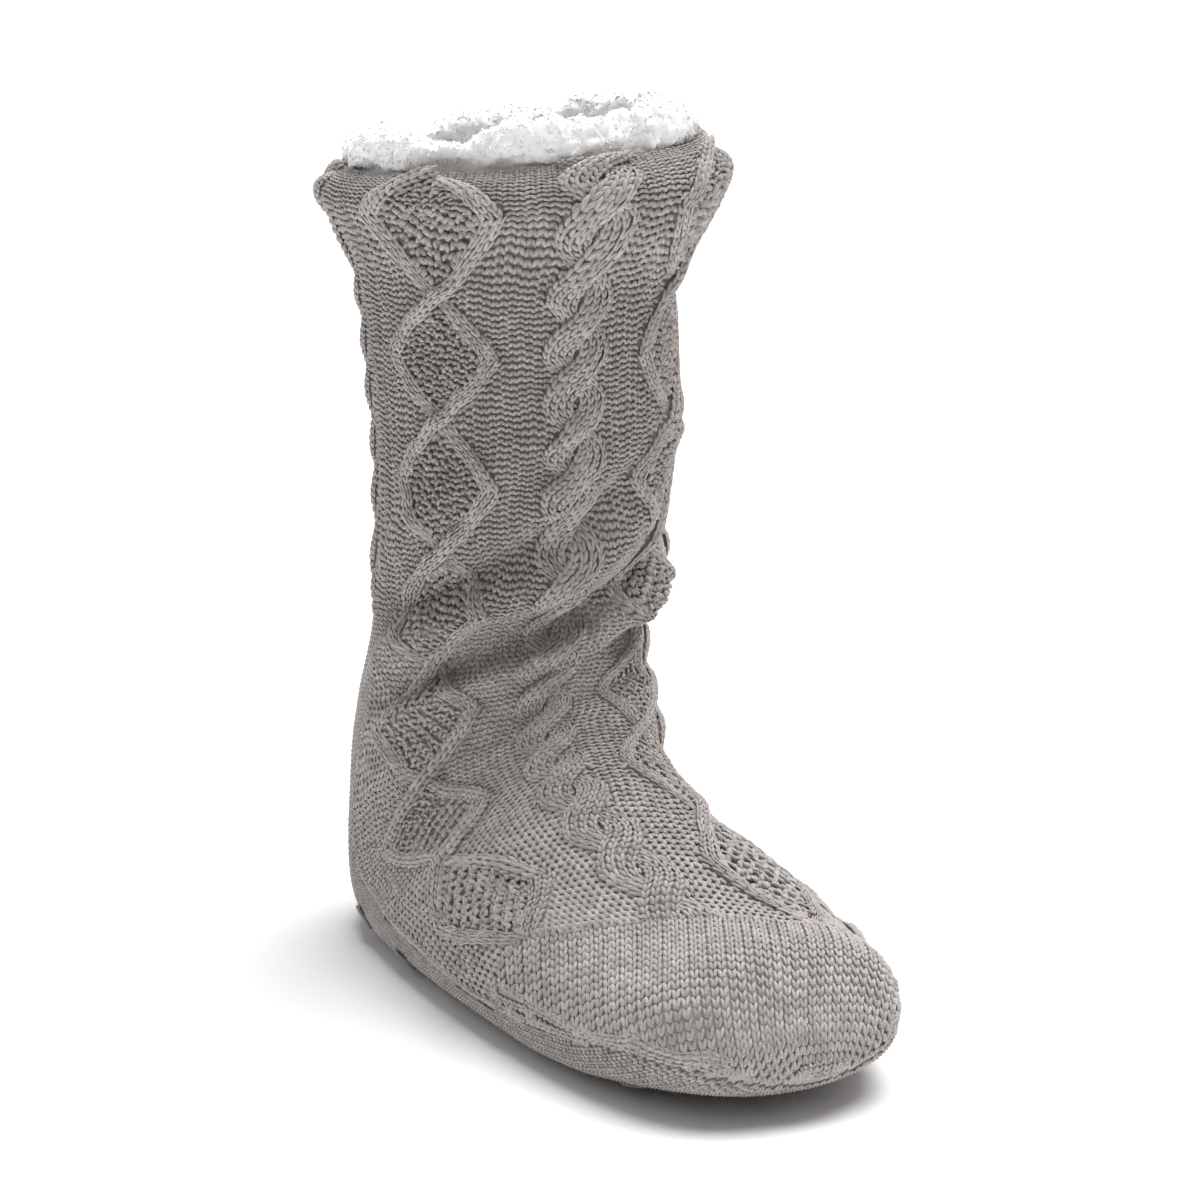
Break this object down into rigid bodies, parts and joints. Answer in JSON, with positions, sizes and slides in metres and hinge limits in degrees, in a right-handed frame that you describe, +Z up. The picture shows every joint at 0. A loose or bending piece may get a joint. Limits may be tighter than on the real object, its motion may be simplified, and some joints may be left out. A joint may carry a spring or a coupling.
{
  "type": "slipper sock",
  "caption": "Calf-height cable-knit slipper sock with a flared collar, pile fleece lining and rubber grip dots under a plain knitted sole.",
  "frame": {"origin": "centre of the sole where the middle grip dot rests on the floor, 119 mm forward of the back of the heel", "axes": "+Z up along the leg, -Y toward the toe, -X toward the wearer's right"},
  "size_m": [0.1228, 0.2604, 0.2777],
  "materials": {
    "cable_knit": "soft mid-grey acrylic yarn, cables and diamonds raised on purl ground",
    "plain_knit": "the same grey yarn in plain stocking stitch",
    "pile_fleece": "white curled pile fleece",
    "grip_rubber": "matt grey moulded rubber"
  },
  "bodies": {
    "root": {"knit_upper": "cable_knit", "sole_heel": "plain_knit", "leg_lining": "pile_fleece", "foot_lining": "pile_fleece", "grip_dot_01": "grip_rubber", "grip_dot_02": "grip_rubber", "grip_dot_03": "grip_rubber", "grip_dot_04": "grip_rubber", "grip_dot_05": "grip_rubber", "grip_dot_06": "grip_rubber", "grip_dot_07": "grip_rubber", "grip_dot_08": "grip_rubber", "grip_dot_09": "grip_rubber", "grip_dot_10": "grip_rubber", "grip_dot_11": "grip_rubber", "grip_dot_12": "grip_rubber", "grip_dot_13": "grip_rubber", "grip_dot_14": "grip_rubber", "grip_dot_15": "grip_rubber", "grip_dot_16": "grip_rubber", "grip_dot_17": "grip_rubber", "grip_dot_18": "grip_rubber", "grip_dot_19": "grip_rubber", "grip_dot_20": "grip_rubber", "grip_dot_21": "grip_rubber", "grip_dot_22": "grip_rubber", "grip_dot_23": "grip_rubber", "grip_dot_24": "grip_rubber", "grip_dot_25": "grip_rubber", "grip_dot_26": "grip_rubber", "grip_dot_27": "grip_rubber", "grip_dot_28": "grip_rubber", "grip_dot_29": "grip_rubber", "grip_dot_30": "grip_rubber", "grip_dot_31": "grip_rubber", "grip_dot_32": "grip_rubber", "grip_dot_33": "grip_rubber", "grip_dot_34": "grip_rubber", "grip_dot_35": "grip_rubber", "grip_dot_36": "grip_rubber", "grip_dot_37": "grip_rubber", "grip_dot_38": "grip_rubber", "grip_dot_39": "grip_rubber", "grip_dot_40": "grip_rubber", "grip_dot_41": "grip_rubber"}
  },
  "joints": []
}
